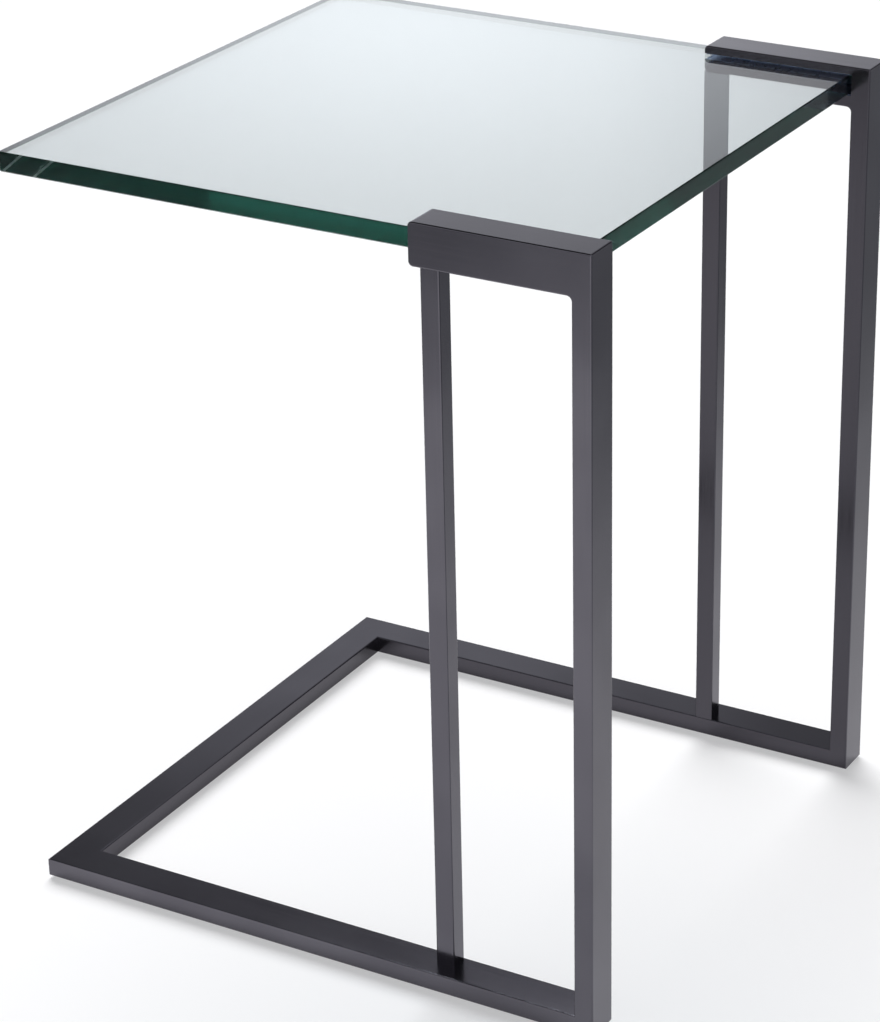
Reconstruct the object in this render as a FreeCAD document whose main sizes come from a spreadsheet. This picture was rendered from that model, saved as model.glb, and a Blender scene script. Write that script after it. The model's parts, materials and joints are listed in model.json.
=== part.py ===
import FreeCAD, Part

import math
import os

import Sketcher

# Side table: a glass top held only at its rear, by two slotted clamp heads on a C-shaped steel frame.
# X runs from the open front (-X) to the uprights at the rear (+X), Y runs across the table and Z up.
# The origin is on the floor, in the middle of the table. Left and right are as seen by someone at the
# open front who looks towards the uprights, so the right-hand frame stands at -Y.
# All lengths are in millimetres.

SIZES = {
    # overall size
    "overall_depth": 480,
    "overall_width": 475,
    "overall_height": 600,
    # flat tube of the base rails, the cross bar and the rear uprights, and its bore
    "tube_width": 30,
    "tube_depth": 15,
    "tube_wall": 1.5,
    "tube_bore_corner": 0.5,
    # square tube of the inner uprights
    "post_side": 15,
    # rounding of every long outer edge of the tubes and the clamp heads
    "edge_radius": 1.2,
    # clamp heads: their reach forward from the back of the table, and the steel round the slot
    "clamp_reach": 138,
    "upper_lip": 6,
    "lower_lip": 9,
    "slot_web": 6.3,
    "neck_drop": 8,
    "neck_fillet": 4,
    "nose_radius": 3.5,
    # glass top
    "glass_thickness": 15,
    "glass_corner": 2,
    "glass_arris": 0.8,
    "glass_edge_gap": 0.4,
    "glass_rear_gap": 2,
    # soft channel between the glass and the slot
    "liner_wall": 0.8,
    "liner_front_inset": 1.5,
    "liner_lip_inset": 1,
    # socket set screws that come up through the lower lip and press the liner against the glass
    "screw_diameter": 5,
    "screw_clearance": 0.1,
    "screw_length": 8,
    "screw_tip": 0.6,
    "socket_flats": 2.5,
    "socket_depth": 2.5,
    "screw_lip_inset": 11,
    "screw_end_inset": 26,
    # round pads stuck under the corners of the frame
    "foot_diameter": 20,
    "foot_height": 2,
    "foot_chamfer": 0.5,
    "foot_rear_inset": 24,
    # how far a cut runs past the surface that it leaves
    "cut_overrun": 2,
}

# Two places nearer than this count as one when edges are picked.
SAME_PLACE = 0.0001

QUARTER_TURN = math.pi / 2

doc = FreeCAD.newDocument("side_table")
sheet = doc.addObject("Spreadsheet::Sheet", "Sizes")
for row, (alias, size) in enumerate(SIZES.items(), start=1):
    sheet.set(f"A{row}", alias)
    sheet.set(f"B{row}", str(size))
    sheet.setAlias(f"B{row}", alias)
doc.recompute()

# Sizes and places that several pieces share, each a formula over the spreadsheet.
DEPTH = "Sizes.overall_depth"
WIDTH = "Sizes.overall_width"
TUBE_WIDTH = "Sizes.tube_width"
TUBE_DEPTH = "Sizes.tube_depth"
POST = "Sizes.post_side"
REACH = "Sizes.clamp_reach"
OVERRUN = "Sizes.cut_overrun"
SLOT_HEIGHT = "(Sizes.glass_thickness + 2 * Sizes.liner_wall)"
HEAD_HEIGHT = f"(Sizes.upper_lip + {SLOT_HEIGHT} + Sizes.lower_lip)"
HEAD_UNDERSIDE = f"(Sizes.overall_height - {HEAD_HEIGHT})"
SLOT_FLOOR = f"({HEAD_UNDERSIDE} + Sizes.lower_lip)"
RAIL_TOP = f"(Sizes.foot_height + {TUBE_DEPTH})"
REAR = f"({DEPTH} / 2)"
FRONT = f"(-{DEPTH} / 2)"
UPRIGHT_FRONT = f"({REAR} - {TUBE_DEPTH})"
HEAD_FRONT = f"({REAR} - {REACH})"
RIGHT_SIDE = f"(-{WIDTH} / 2)"
RIGHT_FRAME_MIDDLE = f"({RIGHT_SIDE} + {TUBE_WIDTH} / 2)"
SCREW_SPAN = f"({REACH} - {TUBE_DEPTH} - 2 * Sizes.screw_end_inset)"


def value(formula):
    """The number that a formula over the spreadsheet gives."""
    return float(sheet.evalExpression(formula))


def new_body(label, x="0", y="0", z="0"):
    """An empty body whose own origin lies at a place given by three formulas."""
    body = doc.addObject("PartDesign::Body", label)
    for axis, formula in zip("xyz", (x, y, z)):
        body.setExpression(f"Placement.Base.{axis}", formula)
    return body


def origin_feature(body, role):
    """One of the body's own origin planes or axes, found by its role."""
    return next(feature for feature in body.Origin.OriginFeatures if feature.Role == role)


def new_sketch(body, name, plane, offset="0"):
    """A sketch on one of the body's own origin planes, moved along the plane's normal by a formula."""
    sketch = body.newObject("Sketcher::SketchObject", name)
    sketch.AttachmentSupport = (origin_feature(body, plane), [""])
    sketch.MapMode = "FlatFace"
    sketch.setExpression("AttachmentOffset.Base.z", offset)
    return sketch


def bind(sketch, name, formula, kind, *geometry):
    """A dimension of the sketch, named and tied to a formula."""
    index = sketch.addConstraint(Sketcher.Constraint(kind, *geometry, value(formula)))
    sketch.renameConstraint(index, name)
    sketch.setExpression(f"Constraints.{name}", formula)


def polygon(sketch, corners):
    """A closed outline of straight lines, each corner placed from the sketch's origin by two formulas."""
    points = [FreeCAD.Vector(value(x), value(y), 0) for x, y in corners]
    lines = [Part.LineSegment(a, b) for a, b in zip(points, points[1:] + points[:1])]
    sketch.addGeometry(lines)
    for i, (x, y) in enumerate(corners):
        following = (i + 1) % len(corners)
        sketch.addConstraint(Sketcher.Constraint("Coincident", i, 2, following, 1))
        bind(sketch, f"corner_{i}_across", x, "DistanceX", -1, 1, i, 1)
        bind(sketch, f"corner_{i}_up", y, "DistanceY", -1, 1, i, 1)


def rounded_rectangle(sketch, tag, width, height, radius):
    """A rectangle centred on the sketch's origin, its four corner arcs tangent to its sides."""
    r = value(radius)
    x, y = value(width) / 2 - r, value(height) / 2 - r
    first = sketch.GeometryCount
    arcs = []
    for turn, centre in enumerate([(x, y), (-x, y), (-x, -y), (x, -y)]):
        circle = Part.Circle(FreeCAD.Vector(*centre, 0), FreeCAD.Vector(0, 0, 1), r)
        arcs.append(Part.ArcOfCircle(circle, turn * QUARTER_TURN, (turn + 1) * QUARTER_TURN))
    for arc, following in zip(arcs, arcs[1:] + arcs[:1]):
        sketch.addGeometry([arc, Part.LineSegment(arc.EndPoint, following.StartPoint)])
    for turn in range(len(arcs)):
        arc, line = first + 2 * turn, first + 2 * turn + 1
        following = first + 2 * ((turn + 1) % len(arcs))
        sketch.addConstraint(Sketcher.Constraint("Tangent", arc, 2, line, 1))
        sketch.addConstraint(Sketcher.Constraint("Tangent", line, 2, following, 1))
        sketch.addConstraint(Sketcher.Constraint(("Horizontal", "Vertical")[turn % 2], line))
        if turn:
            sketch.addConstraint(Sketcher.Constraint("Equal", first, arc))
    top, left, bottom, right = (first + k for k in (1, 3, 5, 7))
    sketch.addConstraint(Sketcher.Constraint("Symmetric", top, 1, bottom, 1, -1, 1))
    bind(sketch, f"{tag}_radius", radius, "Radius", first)
    bind(sketch, f"{tag}_width", width, "DistanceX", left, 1, right, 1)
    bind(sketch, f"{tag}_height", height, "DistanceY", bottom, 1, top, 1)


def circle_at(sketch, tag, diameter, x="0", y="0"):
    """A circle whose centre is placed from the sketch's origin by two formulas."""
    centre = FreeCAD.Vector(value(x), value(y), 0)
    index = sketch.addGeometry(Part.Circle(centre, FreeCAD.Vector(0, 0, 1), value(diameter) / 2))
    bind(sketch, f"{tag}_diameter", diameter, "Diameter", index)
    bind(sketch, f"{tag}_across", x, "DistanceX", -1, 1, index, 3)
    bind(sketch, f"{tag}_up", y, "DistanceY", -1, 1, index, 3)


def pad(body, sketch, length, side="One side"):
    """Extrudes a sketch by a formula, from its plane or evenly to both sides of it."""
    feature = body.newObject("PartDesign::Pad", f"{sketch.Name}_pad")
    feature.Profile = sketch
    feature.SideType = side
    feature.setExpression("Length", length)
    doc.recompute()
    return feature


def cut_through(body, sketch, side="One side"):
    """Cuts a sketch's outline through all of the body, below its plane or to both sides of it."""
    feature = body.newObject("PartDesign::Pocket", f"{sketch.Name}_cut")
    feature.Profile = sketch
    feature.Type = "ThroughAll"
    feature.SideType = side
    doc.recompute()
    return feature


def dress(body, kind, name, size, base, picked):
    """A fillet or chamfer, its one size tied to a formula, on the picked edges or faces of a feature."""
    feature = body.newObject(f"PartDesign::{kind}", name)
    feature.Base = (base, picked)
    feature.setExpression({"Fillet": "Radius", "Chamfer": "Size"}[kind], size)
    doc.recompute()
    return feature


def pick(feature, kind, test):
    """Names of those edges or faces of a feature whose bounding box passes a test."""
    shapes = {"Edge": feature.Shape.Edges, "Face": feature.Shape.Faces}[kind]
    return [f"{kind}{i}" for i, shape in enumerate(shapes, start=1) if test(shape.BoundBox)]


def same(a, b):
    """Whether two lengths are the same."""
    return abs(a - b) < SAME_PLACE


def tube_section(body, plane, width, height):
    """The sketch of a hollow tube's section, centred on the body's own axis."""
    sketch = new_sketch(body, f"{body.Name}_section", plane)
    rounded_rectangle(sketch, "outside", width, height, "Sizes.edge_radius")
    bore_width, bore_height = (f"({side} - 2 * Sizes.tube_wall)" for side in (width, height))
    rounded_rectangle(sketch, "bore", bore_width, bore_height, "Sizes.tube_bore_corner")
    return sketch


def left_twin(right_piece, label):
    """The left-hand piece: the right-hand one mirrored across the middle of the table."""
    twin = doc.addObject("Part::Mirroring", label)
    twin.Source = right_piece
    twin.Normal = FreeCAD.Vector(0, 1, 0)
    return twin


# Front cross bar: flat tube laid across the floor at the front, mitred at both ends.
tube_middle = f"Sizes.foot_height + {TUBE_DEPTH} / 2"
cross_bar = new_body("front_cross_bar", f"{FRONT} + {TUBE_WIDTH} / 2", "0", tube_middle)
pad(cross_bar, tube_section(cross_bar, "XZ_Plane", TUBE_WIDTH, TUBE_DEPTH), WIDTH, "Symmetric")
bar_mitre = new_sketch(cross_bar, "cross_bar_mitre", "XY_Plane")
polygon(
    bar_mitre,
    [
        (f"-{TUBE_WIDTH} / 2 - {OVERRUN}", f"-{WIDTH} / 2 - {OVERRUN}"),
        (f"{TUBE_WIDTH} / 2 + {OVERRUN}", f"-{WIDTH} / 2 - {OVERRUN}"),
        (f"{TUBE_WIDTH} / 2 + {OVERRUN}", f"-{WIDTH} / 2 + {TUBE_WIDTH} + {OVERRUN}"),
    ],
)
right_end = cut_through(cross_bar, bar_mitre, "Symmetric")
left_end = cross_bar.newObject("PartDesign::Mirrored", "cross_bar_left_end")
left_end.Originals = [right_end]
left_end.MirrorPlane = (origin_feature(cross_bar, "XZ_Plane"), [""])
cross_bar.Tip = left_end

# Right base rail: flat tube on the floor from the cross bar to the rear upright. Its front end is
# mitred level with the floor, to the cross bar, and its rear end upright, to the rear upright.
rail = new_body("right_base_rail", "0", RIGHT_FRAME_MIDDLE, tube_middle)
pad(rail, tube_section(rail, "YZ_Plane", TUBE_WIDTH, TUBE_DEPTH), DEPTH, "Symmetric")
rail_front_mitre = new_sketch(rail, "rail_front_mitre", "XY_Plane")
polygon(
    rail_front_mitre,
    [
        (f"{FRONT} - {OVERRUN}", f"-{TUBE_WIDTH} / 2 - {OVERRUN}"),
        (f"{FRONT} + {TUBE_WIDTH} + {OVERRUN}", f"{TUBE_WIDTH} / 2 + {OVERRUN}"),
        (f"{FRONT} - {OVERRUN}", f"{TUBE_WIDTH} / 2 + {OVERRUN}"),
    ],
)
cut_through(rail, rail_front_mitre, "Symmetric")
rail_rear_mitre = new_sketch(rail, "rail_rear_mitre", "XZ_Plane")
polygon(
    rail_rear_mitre,
    [
        (f"{UPRIGHT_FRONT} - {OVERRUN}", f"{TUBE_DEPTH} / 2 + {OVERRUN}"),
        (f"{REAR} + {OVERRUN}", f"-{TUBE_DEPTH} / 2 - {OVERRUN}"),
        (f"{REAR} + {OVERRUN}", f"{TUBE_DEPTH} / 2 + {OVERRUN}"),
    ],
)
cut_through(rail, rail_rear_mitre, "Symmetric")

# Right rear upright: the same flat tube, its wide side to the rear, from the floor mitre up to the
# neck of the clamp head.
upright_along = f"{REAR} - {TUBE_DEPTH} / 2"
upright = new_body("right_rear_upright", upright_along, RIGHT_FRAME_MIDDLE, "Sizes.foot_height")
upright_length = f"{HEAD_UNDERSIDE} - Sizes.neck_drop - Sizes.foot_height"
pad(upright, tube_section(upright, "XY_Plane", TUBE_DEPTH, TUBE_WIDTH), upright_length)
upright_mitre = new_sketch(upright, "upright_mitre", "XZ_Plane")
polygon(
    upright_mitre,
    [
        (f"-{TUBE_DEPTH} / 2 - {OVERRUN}", f"-{OVERRUN}"),
        (f"{TUBE_DEPTH} / 2 + {OVERRUN}", f"-{OVERRUN}"),
        (f"-{TUBE_DEPTH} / 2 - {OVERRUN}", f"{TUBE_DEPTH} + {OVERRUN}"),
    ],
)
cut_through(upright, upright_mitre, "Symmetric")

# Right inner upright: square tube from the top of the rail to the underside of the clamp head, level
# with the head's front end and with the inner side of the rail.
post_across = f"{RIGHT_SIDE} + {TUBE_WIDTH} - {POST} / 2"
post = new_body("right_inner_upright", f"{HEAD_FRONT} + {POST} / 2", post_across, RAIL_TOP)
pad(post, tube_section(post, "XY_Plane", POST, POST), f"{HEAD_UNDERSIDE} - {RAIL_TOP}")

# Right clamp head: solid bar over both uprights, with a short neck down to the rear one. A slot that
# is open to the front and to the middle of the table takes the edge of the glass.
head = new_body("right_clamp_head", REAR, RIGHT_FRAME_MIDDLE, HEAD_UNDERSIDE)
head_side = new_sketch(head, "head_side", "XZ_Plane")
polygon(
    head_side,
    [
        (f"-{REACH}", "0"),
        (f"-{TUBE_DEPTH}", "0"),
        (f"-{TUBE_DEPTH}", "-Sizes.neck_drop"),
        ("0", "-Sizes.neck_drop"),
        ("0", HEAD_HEIGHT),
        (f"-{REACH}", HEAD_HEIGHT),
    ],
)
block = pad(head, head_side, TUBE_WIDTH, "Symmetric")
neck_front, nose_end = -value(TUBE_DEPTH), -value(REACH)
neck_corner = pick(block, "Edge", lambda box: same(box.XMin, neck_front) and same(box.ZMax - box.ZMin, 0)
                   and same(box.XMax, neck_front) and same(box.ZMax, 0))
block = dress(head, "Fillet", "neck_fillet", "Sizes.neck_fillet", block, neck_corner)
nose_corners = pick(block, "Edge", lambda box: same(box.XMax, nose_end) and same(box.ZMin, box.ZMax))
block = dress(head, "Fillet", "nose_rounding", "Sizes.nose_radius", block, nose_corners)
neck_end, head_top = -value("Sizes.neck_drop"), value(HEAD_HEIGHT)
side_edges = pick(block, "Edge", lambda box: same(box.YMin, box.YMax) and not same(box.ZMax, neck_end))
rear_top_edge = pick(block, "Edge", lambda box: same(box.XMin, 0) and same(box.ZMin, head_top))
block = dress(head, "Fillet", "edge_rounding", "Sizes.edge_radius", block, side_edges + rear_top_edge)
slot = new_sketch(head, "slot", "YZ_Plane", f"-{TUBE_DEPTH}")
polygon(
    slot,
    [
        (f"-{TUBE_WIDTH} / 2 + Sizes.slot_web", "Sizes.lower_lip"),
        (f"{TUBE_WIDTH} / 2 + {OVERRUN}", "Sizes.lower_lip"),
        (f"{TUBE_WIDTH} / 2 + {OVERRUN}", f"Sizes.lower_lip + {SLOT_HEIGHT}"),
        (f"-{TUBE_WIDTH} / 2 + Sizes.slot_web", f"Sizes.lower_lip + {SLOT_HEIGHT}"),
    ],
)
cut_through(head, slot)
bores = new_sketch(head, "screw_bores", "XY_Plane", "Sizes.lower_lip")
bore_across = f"{TUBE_WIDTH} / 2 - Sizes.screw_lip_inset"
circle_at(bores, "front", "Sizes.screw_diameter", f"-{REACH} + Sizes.screw_end_inset", bore_across)
circle_at(bores, "rear", "Sizes.screw_diameter", f"-{TUBE_DEPTH} - Sizes.screw_end_inset", bore_across)
cut_through(head, bores)

# Glass top: one thick pane with polished edges. It fills the frame's width between the webs of the
# clamp heads and stops just short of the rear uprights, and its front is over the cross bar's.
glass_depth = f"({UPRIGHT_FRONT} - Sizes.glass_rear_gap - {FRONT})"
glass_width = f"({WIDTH} - 2 * (Sizes.slot_web + Sizes.liner_wall + Sizes.glass_edge_gap))"
glass = new_body("glass_top", f"{FRONT} + {glass_depth} / 2", "0", f"{SLOT_FLOOR} + Sizes.liner_wall")
pane = new_sketch(glass, "pane", "XY_Plane")
rounded_rectangle(pane, "pane", glass_depth, glass_width, "Sizes.glass_corner")
pane_block = pad(glass, pane, "Sizes.glass_thickness")
broad_faces = pick(pane_block, "Face", lambda box: same(box.ZMin, box.ZMax))
dress(glass, "Chamfer", "arris", "Sizes.glass_arris", pane_block, broad_faces)

# Right liner: clear soft channel that lines the slot round the edge of the glass.
liner_front = f"({HEAD_FRONT} + Sizes.liner_front_inset)"
liner = new_body("right_glass_liner", liner_front, f"{RIGHT_SIDE} + Sizes.slot_web", SLOT_FLOOR)
liner_section = new_sketch(liner, "liner_section", "YZ_Plane")
lip_end = f"{TUBE_WIDTH} - Sizes.slot_web - Sizes.liner_lip_inset"
polygon(
    liner_section,
    [
        ("0", "0"),
        (lip_end, "0"),
        (lip_end, "Sizes.liner_wall"),
        ("Sizes.liner_wall", "Sizes.liner_wall"),
        ("Sizes.liner_wall", f"{SLOT_HEIGHT} - Sizes.liner_wall"),
        (lip_end, f"{SLOT_HEIGHT} - Sizes.liner_wall"),
        (lip_end, SLOT_HEIGHT),
        ("0", SLOT_HEIGHT),
    ],
)
pad(liner, liner_section, f"{UPRIGHT_FRONT} - {liner_front}")

# Right clamp screws: two socket set screws in the lower lip. Each presses on the underside of the
# liner, and its socket is recessed in the head's underside.
screw_along = f"{HEAD_FRONT} + Sizes.screw_end_inset"
screw_across = f"{RIGHT_SIDE} + {TUBE_WIDTH} - Sizes.screw_lip_inset"
screw_bottom = f"{SLOT_FLOOR} - Sizes.screw_length"
screws = new_body("right_clamp_screws", screw_along, screw_across, screw_bottom)
screws.AllowCompound = True
shank = new_sketch(screws, "shank", "XY_Plane")
circle_at(shank, "shank", "Sizes.screw_diameter - Sizes.screw_clearance")
shank_pad = pad(screws, shank, "Sizes.screw_length")
tip_rim = pick(shank_pad, "Edge", lambda box: same(box.ZMin, value("Sizes.screw_length")))
shank_tip = dress(screws, "Chamfer", "tip", "Sizes.screw_tip", shank_pad, tip_rim)
hexagon = new_sketch(screws, "hexagon", "XY_Plane", "Sizes.socket_depth")
polygon(
    hexagon,
    [
        ("Sizes.socket_flats / 2", "Sizes.socket_flats / 2 * tan(30)"),
        ("0", "Sizes.socket_flats / 2 / cos(30)"),
        ("-Sizes.socket_flats / 2", "Sizes.socket_flats / 2 * tan(30)"),
        ("-Sizes.socket_flats / 2", "-Sizes.socket_flats / 2 * tan(30)"),
        ("0", "-Sizes.socket_flats / 2 / cos(30)"),
        ("Sizes.socket_flats / 2", "-Sizes.socket_flats / 2 * tan(30)"),
    ],
)
socket = cut_through(screws, hexagon)
screw_pair = screws.newObject("PartDesign::LinearPattern", "screw_pair")
screw_pair.Originals = [shank_pad, shank_tip, socket]
screw_pair.Direction = (origin_feature(screws, "X_Axis"), [""])
screw_pair.Occurrences = 2
screw_pair.setExpression("Length", SCREW_SPAN)
screws.Tip = screw_pair

# Foot pads: a thin disc under each corner. The front ones are centred on the mitres, and the rear
# ones stand a little forward of the uprights.
foot_across = f"({WIDTH} / 2 - {TUBE_WIDTH} / 2)"
foot_places = {
    "front_right": (f"{FRONT} + {TUBE_WIDTH} / 2", f"-{foot_across}"),
    "front_left": (f"{FRONT} + {TUBE_WIDTH} / 2", foot_across),
    "rear_right": (f"{REAR} - Sizes.foot_rear_inset", f"-{foot_across}"),
    "rear_left": (f"{REAR} - Sizes.foot_rear_inset", foot_across),
}
feet = []
for corner, (along, across) in foot_places.items():
    foot = new_body(f"{corner}_foot_pad", along, across)
    disc = new_sketch(foot, f"{corner}_disc", "XY_Plane")
    circle_at(disc, "disc", "Sizes.foot_diameter")
    disc_pad = pad(foot, disc, "Sizes.foot_height")
    lower_rim = pick(disc_pad, "Edge", lambda box: same(box.ZMax, 0))
    dress(foot, "Chamfer", f"{corner}_rim", "Sizes.foot_chamfer", disc_pad, lower_rim)
    feet.append(foot)

pieces = [cross_bar, glass, *feet]
for right_piece in (rail, upright, post, head, liner, screws):
    pieces += [right_piece, left_twin(right_piece, "left_" + right_piece.Label.removeprefix("right_"))]

doc.recompute()
for item in doc.Objects:
    if "Invalid" in item.State or "Error" in item.State:
        raise RuntimeError(f"{item.Name} did not recompute: {item.State}")
for piece in pieces:
    if piece.Shape.isNull() or not piece.Shape.isValid() or not piece.Shape.Solids:
        raise RuntimeError(f"{piece.Label} has no valid solid")

os.makedirs("parts", exist_ok=True)
for piece in pieces:
    piece.Shape.exportStep(f"parts/{piece.Label}.step")
    box = piece.Shape.optimalBoundingBox()
    print(f"{piece.Label}: {len(piece.Shape.Solids)} solids, {piece.Shape.Volume:.0f} mm3, {box}")
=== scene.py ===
import json
import math

import bpy
from mathutils import Matrix, Vector

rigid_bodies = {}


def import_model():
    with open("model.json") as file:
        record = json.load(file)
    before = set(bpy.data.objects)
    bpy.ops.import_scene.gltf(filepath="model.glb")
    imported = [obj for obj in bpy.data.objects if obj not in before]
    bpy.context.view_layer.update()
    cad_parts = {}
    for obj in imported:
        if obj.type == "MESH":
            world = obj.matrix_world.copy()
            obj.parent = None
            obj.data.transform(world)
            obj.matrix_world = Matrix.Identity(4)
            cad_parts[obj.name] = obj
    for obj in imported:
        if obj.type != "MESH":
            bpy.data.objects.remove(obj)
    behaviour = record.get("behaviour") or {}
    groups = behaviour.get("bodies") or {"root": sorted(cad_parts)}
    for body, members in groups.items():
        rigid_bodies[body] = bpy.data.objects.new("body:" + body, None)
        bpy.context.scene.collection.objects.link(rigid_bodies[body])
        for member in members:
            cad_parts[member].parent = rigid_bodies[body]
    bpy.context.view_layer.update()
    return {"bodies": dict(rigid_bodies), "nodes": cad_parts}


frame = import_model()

# Side table: a thick glass pane held at its rear by two slotted clamp heads on a C-shaped frame of
# satin black nickel steel tube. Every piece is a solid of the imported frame; this script gives each
# its finish, and stands the table on a pale studio floor. Lengths are in metres.

MM = 0.001

# The objects that a new file starts with are taken out. The frame's stay.
for start_object in list(bpy.data.objects):
    if start_object not in [*frame["nodes"].values(), *frame["bodies"].values()]:
        bpy.data.objects.remove(start_object)


def linear(hex_colour):
    """An sRGB hex colour such as "8A8D90" as linear red, green, blue and an alpha of 1."""
    channels = [int(hex_colour[i:i + 2], 16) / 255 for i in (0, 2, 4)]
    return [c / 12.92 if c <= 0.04045 else ((c + 0.055) / 1.055) ** 2.4 for c in channels] + [1.0]


def node(tree, kind, settings=None, **inputs):
    """Adds a shader node, sets its properties, and fills each named input with a value or a link."""
    made = tree.nodes.new(kind)
    for name, value in (settings or {}).items():
        setattr(made, name, value)
    for name, value in inputs.items():
        socket = made.inputs[int(name[1:]) if name[1:].isdigit() else name.replace("_", " ")]
        if isinstance(value, bpy.types.NodeSocket):
            tree.links.new(value, socket)
        else:
            socket.default_value = value
    return made


def new_material(name):
    """An empty node material and its output node."""
    material = bpy.data.materials.new(name)
    material.use_nodes = True
    material.node_tree.nodes.clear()
    return material, material.node_tree, material.node_tree.nodes.new("ShaderNodeOutputMaterial")


def finish_nodes(material, *names):
    """Gives one material to whole nodes of the frame."""
    for name in names:
        for slot in frame["nodes"][name].material_slots:
            slot.material = material


# Steel frame: flat and square tube, welded, ground, brushed along each tube's length and plated in
# satin black nickel. The plate mirrors the studio softly and darkly, a little violet, and the brush
# lines stretch its highlights across the tube.

# The third colour is painted shade: faces turned inward are coloured darker, standing in for the shade they
# lie in.
NICKEL_PALE, NICKEL_DARK, NICKEL_INNER_SHADE = "66646B", "5F5D64", "4C4A50"
# A face takes the painted inner shade as its normal turns inward, fully from the second value on.
INNER_SHADE_FROM, INNER_SHADE_TO = 0.6, 0.9
NICKEL_ROUGHNESS = (0.16, 0.23)
# The real scratches are about 0.05 mm wide. They are drawn 1.2 mm wide, so that they show.
BRUSH_LINE, BRUSH_LENGTH, BRUSH_DEPTH, BRUSH_RELIEF = 1.2 * MM, 90 * MM, 0.05 * MM, 0.05
SCRATCH_LEVELS = (0.3, 0.7)
PLATE_CLOUD, CLOUD_LEVELS = 70 * MM, (0.35, 0.65)


def black_nickel(name, grain_axis, inward):
    """Satin black nickel, brushed along one axis: noise stretched along that axis is the scratches.
    Faces turned inward are darker: painted shade, standing in for the shade they lie in."""
    material, tree, output = new_material(name)
    coordinates = node(tree, "ShaderNodeTexCoord").outputs["Object"]
    scale = [1 / BRUSH_LINE] * 3
    scale["XYZ".index(grain_axis)] = 1 / BRUSH_LENGTH
    stretched = node(tree, "ShaderNodeMapping", Vector=coordinates, Scale=scale).outputs[0]
    scratches = node(tree, "ShaderNodeTexNoise", Vector=stretched, Scale=1.0, Detail=2.0).outputs["Fac"]
    clouds = node(
        tree, "ShaderNodeTexNoise", Vector=coordinates, Scale=1 / PLATE_CLOUD, Detail=1.0
    ).outputs["Fac"]
    tone = node(
        tree, "ShaderNodeMapRange", Value=clouds, From_Min=CLOUD_LEVELS[0], From_Max=CLOUD_LEVELS[1]
    ).outputs[0]
    colour = node(
        tree, "ShaderNodeMix", {"data_type": "RGBA"}, _0=tone, _6=linear(NICKEL_DARK), _7=linear(NICKEL_PALE)
    ).outputs[2]
    facing = node(
        tree, "ShaderNodeVectorMath", {"operation": "DOT_PRODUCT"},
        _0=node(tree, "ShaderNodeTexCoord").outputs["Normal"], _1=inward,
    ).outputs["Value"]
    inner_shade_mask = node(
        tree, "ShaderNodeMapRange", Value=facing, From_Min=INNER_SHADE_FROM, From_Max=INNER_SHADE_TO
    ).outputs[0]
    # Painted shade: faces turned inward are mixed towards the darker inner colour.
    colour = node(
        tree, "ShaderNodeMix", {"data_type": "RGBA"}, _0=inner_shade_mask, _6=colour, _7=linear(NICKEL_INNER_SHADE)
    ).outputs[2]
    roughness = node(
        tree, "ShaderNodeMapRange", Value=scratches, From_Min=SCRATCH_LEVELS[0],
        From_Max=SCRATCH_LEVELS[1], To_Min=NICKEL_ROUGHNESS[0], To_Max=NICKEL_ROUGHNESS[1],
    ).outputs[0]
    bump = node(
        tree, "ShaderNodeBump", Height=scratches, Strength=BRUSH_RELIEF, Distance=BRUSH_DEPTH
    ).outputs[0]
    steel = node(
        tree, "ShaderNodeBsdfPrincipled", Base_Color=colour, Metallic=1.0, Roughness=roughness,
        Normal=bump,
    )
    tree.links.new(steel.outputs[0], output.inputs["Surface"])
    return material


for side, inward in (("right", (0, 1, 0)), ("left", (0, -1, 0))):
    lengthwise = black_nickel(f"satin_black_nickel_brushed_lengthwise_{side}", "X", inward)
    upright = black_nickel(f"satin_black_nickel_brushed_upright_{side}", "Z", inward)
    finish_nodes(lengthwise, f"{side}_base_rail", f"{side}_clamp_head")
    finish_nodes(upright, f"{side}_rear_upright", f"{side}_inner_upright")
finish_nodes(black_nickel("satin_black_nickel_brushed_across", "Y", (1, 0, 0)), "front_cross_bar")


# Glass top: 15 mm clear float glass, its edges ground flat, arrissed and polished. Through the face
# it is nearly clear and slightly cool. Light that reaches an edge has crossed the whole pane, so the
# iron in the glass turns the edges deep green.

GLASS_IOR = 1.52
GLASS_FACE_TINT, GLASS_EDGE_TINT = "E6E6E9", "D9DADF"
# The arrises are cut with a stone. Their tint is darker and greyer than that of the faces and edges, so they
# let less light through. The height of a face's normal tells them apart: 1 on a face, 0.7 on an arris and 0
# on an edge.
GLASS_ARRIS_TINT = "AEBBB7"
FACE_SLOPE, ARRIS_SLOPE = (0.90, 0.95), (0.2, 0.3)
# What a metre of the glass leaves of red, green and blue.
GLASS_PER_METRE = (0.0002, 0.0058, 0.0027)
# The edges are ground and then polished, so they mirror less than the faces, which are as they floated.
FACE_MIRROR, EDGE_MIRROR = "FFFFFF", "2A2A2A"
EDGE_ROUGHNESS = 0.10
# The polishing wheel left a few slanting streaks on the edges, towards the free front corners.
STREAK_SPACING, STREAK_SLANT, STREAK_ROUGHNESS = 12 * MM, 1.2, 0.40
STREAK_LEVELS = (0.63, 0.75)
STREAKS_END, STREAKS_FULL = -0.13, -0.17


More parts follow.
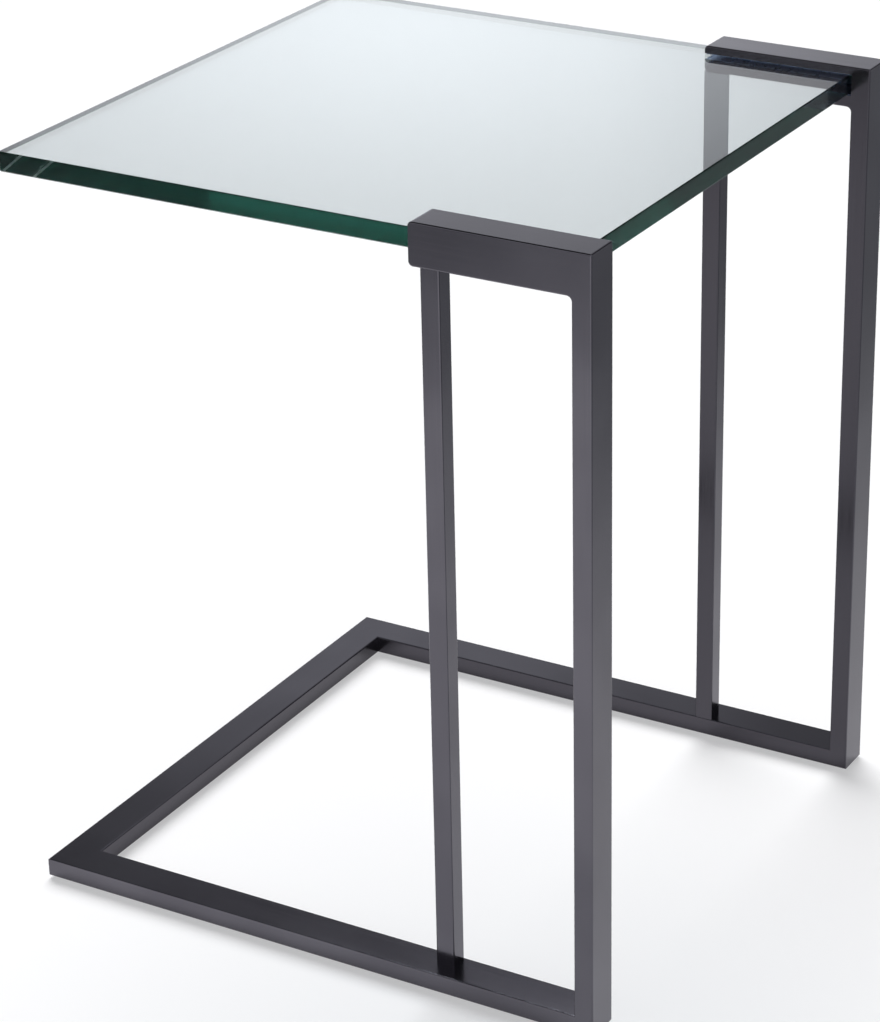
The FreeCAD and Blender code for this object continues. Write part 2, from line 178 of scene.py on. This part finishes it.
def float_glass():
    """Glass with an absorbing volume. The edges are a little rough, and rougher where noise of
    x - slant times z, towards the front, is high. Shadow and diffuse rays pass straight through."""
    material, tree, output = new_material("polished_float_glass")
    coordinates = node(tree, "ShaderNodeTexCoord").outputs
    upright = node(tree, "ShaderNodeSeparateXYZ", Vector=coordinates["Normal"]).outputs["Z"]
    flat = node(tree, "ShaderNodeMath", {"operation": "ABSOLUTE"}, _0=upright).outputs[0]
    is_face, is_sloped = (
        node(tree, "ShaderNodeMapRange", Value=flat, From_Min=slope[0], From_Max=slope[1]).outputs[0]
        for slope in (FACE_SLOPE, ARRIS_SLOPE)
    )
    mirror = node(
        tree, "ShaderNodeMix", {"data_type": "RGBA"}, _0=is_face, _6=linear(EDGE_MIRROR),
        _7=linear(FACE_MIRROR),
    ).outputs[2]
    tint = node(
        tree, "ShaderNodeMix", {"data_type": "RGBA"}, _0=is_sloped, _6=linear(GLASS_EDGE_TINT),
        _7=linear(GLASS_ARRIS_TINT),
    ).outputs[2]
    tint = node(
        tree, "ShaderNodeMix", {"data_type": "RGBA"}, _0=is_face, _6=tint, _7=linear(GLASS_FACE_TINT)
    ).outputs[2]
    place = node(tree, "ShaderNodeSeparateXYZ", Vector=coordinates["Object"]).outputs
    slant = node(
        tree, "ShaderNodeMath", {"operation": "MULTIPLY_ADD"}, _0=place["Z"], _1=-STREAK_SLANT, _2=place["X"]
    ).outputs[0]
    streaks = node(
        tree, "ShaderNodeTexNoise", {"noise_dimensions": "1D"}, W=slant, Scale=1 / STREAK_SPACING, Detail=1.0
    ).outputs["Fac"]
    streaks = node(
        tree, "ShaderNodeMapRange", Value=streaks, From_Min=STREAK_LEVELS[0], From_Max=STREAK_LEVELS[1]
    ).outputs[0]
    near_front = node(
        tree, "ShaderNodeMapRange", Value=place["X"], From_Min=STREAKS_END, From_Max=STREAKS_FULL
    ).outputs[0]
    streaks = node(tree, "ShaderNodeMath", {"operation": "MULTIPLY"}, _0=streaks, _1=near_front).outputs[0]
    edge_roughness = node(
        tree, "ShaderNodeMapRange", Value=streaks, To_Min=EDGE_ROUGHNESS, To_Max=STREAK_ROUGHNESS
    ).outputs[0]
    roughness = node(
        tree, "ShaderNodeMapRange", Value=is_face, To_Min=edge_roughness, To_Max=0.0
    ).outputs[0]
    glass = node(
        tree, "ShaderNodeBsdfPrincipled", Base_Color=tint, Roughness=roughness,
        IOR=GLASS_IOR, Transmission_Weight=1.0, Specular_Tint=mirror,
    ).outputs[0]
    clear = node(tree, "ShaderNodeBsdfTransparent", Color=linear(GLASS_FACE_TINT)).outputs[0]
    ray = node(tree, "ShaderNodeLightPath").outputs
    lets_by = node(
        tree, "ShaderNodeMath", {"operation": "MAXIMUM"}, _0=ray["Is Shadow Ray"], _1=ray["Is Diffuse Ray"]
    ).outputs[0]
    surface = node(tree, "ShaderNodeMixShader", _0=lets_by, _1=glass, _2=clear).outputs[0]
    tree.links.new(surface, output.inputs["Surface"])
    # An absorption volume takes off its density times one less its colour, per metre.
    taken = [-math.log(share) for share in GLASS_PER_METRE]
    density = max(taken)
    volume = node(
        tree, "ShaderNodeVolumeAbsorption", Color=[1 - t / density for t in taken] + [1.0], Density=density
    )
    tree.links.new(volume.outputs[0], output.inputs["Volume"])
    return material


finish_nodes(float_glass(), "glass_top")


# Glass liners: a channel of soft clear PVC, extruded, cut to length and pushed over the pane's rear
# corner inside each clamp head. It keeps glass and steel apart, and shows as a dark bluish strip.

LINER_COLOUR, LINER_CLARITY, LINER_IOR = "A9B8DA", 0.7, 1.53
LINER_HAZE, LINER_ROUGHNESS = 6 * MM, (0.2, 0.4)


def clear_pvc():
    """Clear vinyl: mostly see-through with a faint blue body, unevenly hazed by handling."""
    material, tree, output = new_material("clear_soft_pvc")
    coordinates = node(tree, "ShaderNodeTexCoord").outputs["Object"]
    haze = node(
        tree, "ShaderNodeTexNoise", Vector=coordinates, Scale=1 / LINER_HAZE, Detail=1.0
    ).outputs["Fac"]
    roughness = node(
        tree, "ShaderNodeMapRange", Value=haze, To_Min=LINER_ROUGHNESS[0], To_Max=LINER_ROUGHNESS[1]
    ).outputs[0]
    vinyl = node(
        tree, "ShaderNodeBsdfPrincipled", Base_Color=linear(LINER_COLOUR), Roughness=roughness,
        IOR=LINER_IOR, Transmission_Weight=LINER_CLARITY,
    )
    tree.links.new(vinyl.outputs[0], output.inputs["Surface"])
    return material


finish_nodes(clear_pvc(), "right_glass_liner", "left_glass_liner")


# Clamp screws: M5 steel socket set screws, black oxide, up through the lower lip of each head. They
# are turned from bar, blackened in a hot bath and oiled, and press the liner against the glass.

OXIDE_COLOUR, OXIDE_MOTTLE, OXIDE_ROUGHNESS = "33323A", 1.5 * MM, (0.3, 0.5)


def black_oxide():
    """Oiled black oxide on machined steel: nearly black, faintly mottled, low sheen."""
    material, tree, output = new_material("black_oxide_steel")
    coordinates = node(tree, "ShaderNodeTexCoord").outputs["Object"]
    mottle = node(
        tree, "ShaderNodeTexNoise", Vector=coordinates, Scale=1 / OXIDE_MOTTLE, Detail=2.0
    ).outputs["Fac"]
    roughness = node(
        tree, "ShaderNodeMapRange", Value=mottle, To_Min=OXIDE_ROUGHNESS[0], To_Max=OXIDE_ROUGHNESS[1]
    ).outputs[0]
    steel = node(
        tree, "ShaderNodeBsdfPrincipled", Base_Color=linear(OXIDE_COLOUR), Metallic=1.0,
        Roughness=roughness,
    )
    tree.links.new(steel.outputs[0], output.inputs["Surface"])
    return material


finish_nodes(black_oxide(), "right_clamp_screws", "left_clamp_screws")


# Foot pads: discs of black rubber, die-cut from sheet and stuck under the corners. Their surface is
# matt, with the fine grain of the mould that the sheet was pressed in.

RUBBER_COLOUR, RUBBER_ROUGHNESS = "1B1B1C", 0.75
RUBBER_GRAIN, GRAIN_DEPTH, GRAIN_RELIEF = 0.8 * MM, 0.1 * MM, 0.3


def pad_rubber():
    """Matt black rubber with a fine moulded grain."""
    material, tree, output = new_material("black_pad_rubber")
    coordinates = node(tree, "ShaderNodeTexCoord").outputs["Object"]
    grain = node(
        tree, "ShaderNodeTexNoise", Vector=coordinates, Scale=1 / RUBBER_GRAIN, Detail=2.0
    ).outputs["Fac"]
    bump = node(
        tree, "ShaderNodeBump", Height=grain, Strength=GRAIN_RELIEF, Distance=GRAIN_DEPTH
    ).outputs[0]
    rubber = node(
        tree, "ShaderNodeBsdfPrincipled", Base_Color=linear(RUBBER_COLOUR),
        Roughness=RUBBER_ROUGHNESS, Normal=bump,
    )
    tree.links.new(rubber.outputs[0], output.inputs["Surface"])
    return material


finish_nodes(
    pad_rubber(), "front_right_foot_pad", "front_left_foot_pad", "rear_right_foot_pad", "rear_left_foot_pad"
)


# Camera: a long lens at about 2.7 m, to the right of the table's rear and above it. The place and
# turn come from a fit to the straight edges of the photograph, whose frame is 880 x 1022 pixels.

CAMERA_PLACE = Vector((1.1690, -1.9893, 1.3382))
CAMERA_AZIMUTH, CAMERA_ELEVATION = math.radians(29.316), math.radians(24.858)
CAMERA_ROLL = math.radians(-0.656)
FRAME_WIDE, FRAME_HIGH = 880, 1022
FOCAL_PIXELS, AXIS_PIXEL_X = 3293.1, 520
SENSOR_MM = 36

back = Vector((
    math.sin(CAMERA_AZIMUTH) * math.cos(CAMERA_ELEVATION),
    -math.cos(CAMERA_AZIMUTH) * math.cos(CAMERA_ELEVATION),
    math.sin(CAMERA_ELEVATION),
))
right = Vector((0, 0, 1)).cross(back).normalized()
turn = Matrix((right, back.cross(right), back)).transposed() @ Matrix.Rotation(CAMERA_ROLL, 3, "Z")
camera_data = bpy.data.cameras.new("camera")
camera_data.sensor_width = SENSOR_MM
camera_data.lens = FOCAL_PIXELS / FRAME_HIGH * SENSOR_MM
camera_data.shift_x = (FRAME_WIDE / 2 - AXIS_PIXEL_X) / FRAME_HIGH
camera = bpy.data.objects.new("camera", camera_data)
camera.matrix_world = Matrix.Translation(CAMERA_PLACE) @ turn.to_4x4()
bpy.context.scene.collection.objects.link(camera)
bpy.context.scene.camera = camera

# Studio: a floor of white paper. What the steel mirrors of it fades to grey at both sides, so that
# the uprights grade from pale at the foot to dark at the top. It keeps the table's soft shadow.

FLOOR_REACH = 14.0
# Where the fade starts and ends, measured to the right across the view.
LEFT_FADE, RIGHT_FADE = (-0.95, -1.45), (0.16, 1.18)
PAPER_COLOUR, ROOM_FLOOR_COLOUR = "F9F9FA", "8E9094"
FLOOR_GLOW_SHARE = 0.45


def studio_floor():
    """White paper, part lit and part glowing where it is seen. For glossy rays its colour goes to
    grey with the distance across the view, past each side's start."""
    material, tree, output = new_material("seamless_paper_on_studio_floor")
    coordinates = node(tree, "ShaderNodeTexCoord").outputs["Object"]
    across = node(
        tree, "ShaderNodeVectorMath", {"operation": "DOT_PRODUCT"}, _0=coordinates, _1=right
    ).outputs["Value"]
    off_left, off_right = (
        node(tree, "ShaderNodeMapRange", Value=across, From_Min=fade[0], From_Max=fade[1]).outputs[0]
        for fade in (LEFT_FADE, RIGHT_FADE)
    )
    off_paper = node(
        tree, "ShaderNodeMath", {"operation": "MAXIMUM"}, _0=off_left, _1=off_right
    ).outputs[0]
    ray = node(tree, "ShaderNodeLightPath").outputs
    off_paper = node(
        tree, "ShaderNodeMath", {"operation": "MULTIPLY"}, _0=off_paper, _1=ray["Is Glossy Ray"]
    ).outputs[0]
    colour = node(
        tree, "ShaderNodeMix", {"data_type": "RGBA"}, _0=off_paper, _6=linear(PAPER_COLOUR),
        _7=linear(ROOM_FLOOR_COLOUR),
    ).outputs[2]
    shaded = node(tree, "ShaderNodeBsdfDiffuse", Color=colour).outputs[0]
    glow = node(tree, "ShaderNodeEmission", Color=colour, Strength=1.0).outputs[0]
    seen = node(
        tree, "ShaderNodeMath", {"operation": "MAXIMUM"}, _0=ray["Is Camera Ray"], _1=ray["Is Glossy Ray"]
    ).outputs[0]
    seen = node(
        tree, "ShaderNodeMath", {"operation": "MAXIMUM"}, _0=seen, _1=ray["Is Transmission Ray"]
    ).outputs[0]
    share = node(
        tree, "ShaderNodeMath", {"operation": "MULTIPLY"}, _0=seen, _1=FLOOR_GLOW_SHARE
    ).outputs[0]
    surface = node(tree, "ShaderNodeMixShader", _0=share, _1=shaded, _2=glow).outputs[0]
    tree.links.new(surface, output.inputs["Surface"])
    return material


floor_mesh = bpy.data.meshes.new("studio_floor")
floor_corners = [(x * FLOOR_REACH, y * FLOOR_REACH, 0) for x, y in ((-1, -1), (1, -1), (1, 1), (-1, 1))]
floor_mesh.from_pydata(floor_corners, [], [(0, 1, 2, 3)])
floor_mesh.materials.append(studio_floor())
floor = bpy.data.objects.new("studio_floor", floor_mesh)
bpy.context.scene.collection.objects.link(floor)

# Room: a pale band at the horizon, dark walls behind the table and a pale one behind the camera. The
# ceiling is dark over the open front, so that the rounded top edges draw a dark line, and paler over
# the rest, which the tops mirror when they are seen from above.

ROOM_LOW, ROOM_DARK_WALL, ROOM_PALE_WALL = "DADCDE", "45464A", "DCDDE0"
ROOM_DARK_CEILING, ROOM_PALE_CEILING = "2A2B2E", "A8AAAE"
# Each pair is where a change starts and ends: the sine of the height, or a direction's share of X or
# of the way to the camera.
BAND_TOP, WALL_TOP = (0.03, 0.14), (0.5, 0.7)
CAMERA_SIDE, REAR_SIDE = (-0.3, 0.4), (-0.38, -0.20)

world = bpy.data.worlds.new("studio_room")
world.use_nodes = True
tree = world.node_tree
tree.nodes.clear()
sky = node(tree, "ShaderNodeTexCoord").outputs["Generated"]
towards = node(tree, "ShaderNodeSeparateXYZ", Vector=sky).outputs
towards_camera = node(
    tree, "ShaderNodeVectorMath", {"operation": "DOT_PRODUCT"}, _0=sky,
    _1=(*back.xy.normalized(), 0),
).outputs["Value"]
behind_camera = node(
    tree, "ShaderNodeMapRange", {"interpolation_type": "SMOOTHSTEP"}, Value=towards_camera,
    From_Min=CAMERA_SIDE[0], From_Max=CAMERA_SIDE[1],
).outputs[0]
room = node(
    tree, "ShaderNodeMix", {"data_type": "RGBA"}, _0=behind_camera, _6=linear(ROOM_DARK_WALL),
    _7=linear(ROOM_PALE_WALL),
).outputs[2]
off_front = node(
    tree, "ShaderNodeMapRange", Value=towards["X"], From_Min=REAR_SIDE[0], From_Max=REAR_SIDE[1]
).outputs[0]
off_front = node(
    tree, "ShaderNodeMath", {"operation": "MULTIPLY"}, _0=off_front,
    _1=node(tree, "ShaderNodeLightPath").outputs["Is Glossy Ray"],
).outputs[0]
ceiling = node(
    tree, "ShaderNodeMix", {"data_type": "RGBA"}, _0=off_front, _6=linear(ROOM_DARK_CEILING),
    _7=linear(ROOM_PALE_CEILING),
).outputs[2]
above_band, above_walls = (
    node(tree, "ShaderNodeMapRange", Value=towards["Z"], From_Min=top[0], From_Max=top[1]).outputs[0]
    for top in (BAND_TOP, WALL_TOP)
)
room = node(tree, "ShaderNodeMix", {"data_type": "RGBA"}, _0=above_walls, _6=room, _7=ceiling).outputs[2]
room = node(
    tree, "ShaderNodeMix", {"data_type": "RGBA"}, _0=above_band, _6=linear(ROOM_LOW), _7=room
).outputs[2]
room = node(tree, "ShaderNodeBackground", Color=room, Strength=1.0).outputs[0]
node(tree, "ShaderNodeOutputWorld", Surface=room)
bpy.context.scene.world = world

# Cards: two upright sheets at 0.6 m behind the table, lit from behind. The high one is what the glass
# and the clamp heads mirror, the low one what the base mirrors. Each is brightest near its middle.

CARD_DISTANCE, CARD_HALF_WIDTH = 0.6, 0.8
CARD_COLOUR = "F7F9FF"


def glowing_card(name, low, high, fade, base, peak, centre, spread, seen_through_glass):
    """An upright sheet whose glow is base + peak x exp(-((u - u0) / su)^2 - ((z - z0) / sz)^2), with u
    across the view and z up, times a soft step between the two heights of its fade."""
    material, tree, output = new_material(name)
    coordinates = node(tree, "ShaderNodeTexCoord").outputs["Object"]
    across = node(
        tree, "ShaderNodeVectorMath", {"operation": "DOT_PRODUCT"}, _0=coordinates, _1=right
    ).outputs["Value"]
    up = node(tree, "ShaderNodeSeparateXYZ", Vector=coordinates).outputs["Z"]
    place = node(tree, "ShaderNodeCombineXYZ", X=across, Y=up).outputs[0]
    place = node(
        tree, "ShaderNodeVectorMath", {"operation": "SUBTRACT"}, _0=place, _1=(*centre, 0)
    ).outputs[0]
    place = node(
        tree, "ShaderNodeVectorMath", {"operation": "DIVIDE"}, _0=place, _1=(*spread, 1)
    ).outputs[0]
    squared = node(
        tree, "ShaderNodeVectorMath", {"operation": "DOT_PRODUCT"}, _0=place, _1=place
    ).outputs["Value"]
    inverse = node(tree, "ShaderNodeMath", {"operation": "MULTIPLY"}, _0=squared, _1=-1.0).outputs[0]
    bell = node(tree, "ShaderNodeMath", {"operation": "EXPONENT"}, _0=inverse).outputs[0]
    glow = node(tree, "ShaderNodeMath", {"operation": "MULTIPLY_ADD"}, _0=bell, _1=peak, _2=base).outputs[0]
    step = node(
        tree, "ShaderNodeMapRange", {"interpolation_type": "SMOOTHSTEP"}, Value=up,
        From_Min=fade[0], From_Max=fade[1],
    ).outputs[0]
    glow = node(tree, "ShaderNodeMath", {"operation": "MULTIPLY"}, _0=glow, _1=step).outputs[0]
    light = node(tree, "ShaderNodeEmission", Color=linear(CARD_COLOUR), Strength=glow)
    tree.links.new(light.outputs[0], output.inputs["Surface"])

    foot = -back.xy.normalized() * CARD_DISTANCE
    half = right.xy.normalized() * CARD_HALF_WIDTH
    corners = [
        (*(foot + side * half), z) for side, z in ((-1, low), (1, low), (1, high), (-1, high))
    ]
    mesh = bpy.data.meshes.new(name)
    mesh.from_pydata(corners, [], [(0, 1, 2, 3)])
    mesh.materials.append(material)
    card = bpy.data.objects.new(name, mesh)
    bpy.context.scene.collection.objects.link(card)
    card.visible_camera = card.visible_diffuse = card.visible_shadow = False
    card.visible_transmission = seen_through_glass


# The low card's fade lies under its foot, so that it has none.
glowing_card(
    "high_card", low=0.60, high=1.60, fade=(0.60, 0.66), base=0.40, peak=1.12, centre=(-0.05, 0.68),
    spread=(0.42, 0.20), seen_through_glass=True,
)
glowing_card(
    "low_card", low=0.01, high=0.60, fade=(-0.02, -0.01), base=0.16, peak=0.50, centre=(-0.10, 0.18),
    spread=(0.42, 0.20), seen_through_glass=False,
)

# Key: one large, far softbox behind the table and to the left, drawn as an even slanting light with a
# wide spread. It lights the floor, draws the table's soft shadow and isn't mirrored.

KEY_TOWARDS = Vector((0.45, -0.62, -1.0))
KEY_STRENGTH, KEY_SPREAD = 3.9, math.radians(42)

key_data = bpy.data.lights.new("far_softbox", "SUN")
key_data.energy, key_data.angle = KEY_STRENGTH, KEY_SPREAD
key = bpy.data.objects.new("far_softbox", key_data)
key.matrix_world = (-KEY_TOWARDS).to_track_quat("Z", "Y").to_matrix().to_4x4()
key.visible_camera = key.visible_glossy = False
bpy.context.scene.collection.objects.link(key)

# Light has to cross the pane and bounce many times between its faces before it leaves by an edge.
ALL_BOUNCES, GLASS_BOUNCES, CLEAR_BOUNCES = 40, 32, 16

cycles = bpy.context.scene.cycles
cycles.max_bounces = ALL_BOUNCES
cycles.glossy_bounces = GLASS_BOUNCES
cycles.transmission_bounces = GLASS_BOUNCES
cycles.transparent_max_bounces = CLEAR_BOUNCES

bpy.context.scene.view_settings.view_transform = "Standard"
